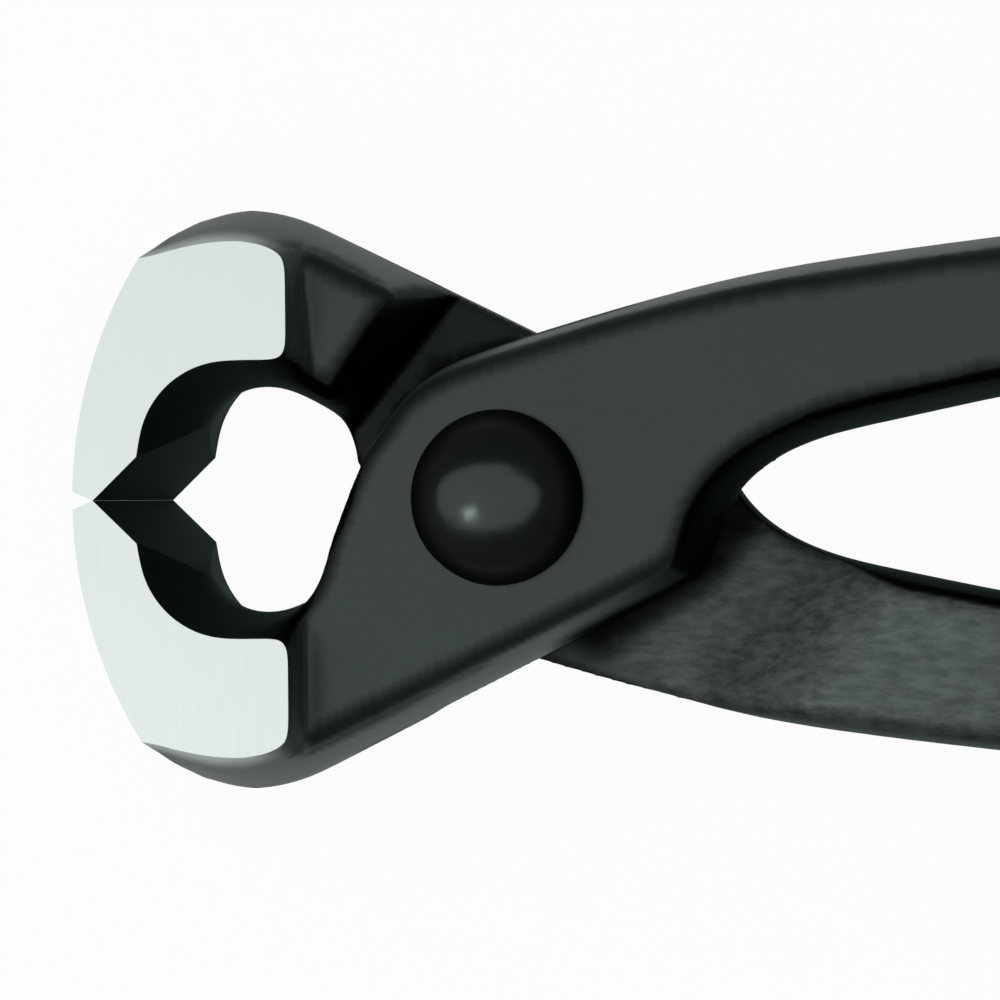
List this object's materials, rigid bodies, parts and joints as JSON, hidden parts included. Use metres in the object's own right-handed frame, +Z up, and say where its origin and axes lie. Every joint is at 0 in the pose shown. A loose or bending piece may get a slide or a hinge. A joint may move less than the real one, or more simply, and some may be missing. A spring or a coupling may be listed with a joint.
{
  "type": "end nippers",
  "caption": "Long-handled concreter's end nippers: black forged levers lapped at a domed rivet, with ground cutting jaws for twisting and cutting tying wire.",
  "frame": {"origin": "middle of the closed tool in plan, on the surface that it lies on", "axes": "+X from the nose of the jaws to the handle ends, +Y across the jaws towards the front lever's handle, +Z up, out of the front of the joint and along the rivet"},
  "size_m": [0.3, 0.055, 0.021],
  "materials": {
    "blackened_steel": "satin",
    "rivet_steel": "satin"
  },
  "bodies": {
    "rear_half": {"rear_lever": "blackened_steel"},
    "front_half": {"front_lever": "blackened_steel", "pivot_rivet": "rivet_steel"}
  },
  "joints": [
    {"name": "jaw_pivot", "type": "hinge", "parent": "rear_half", "child": "front_half", "pos_m": [-0.1216, 0, 0.0105], "axis": [0, 0, 1], "range_deg": [0, 45]}
  ]
}
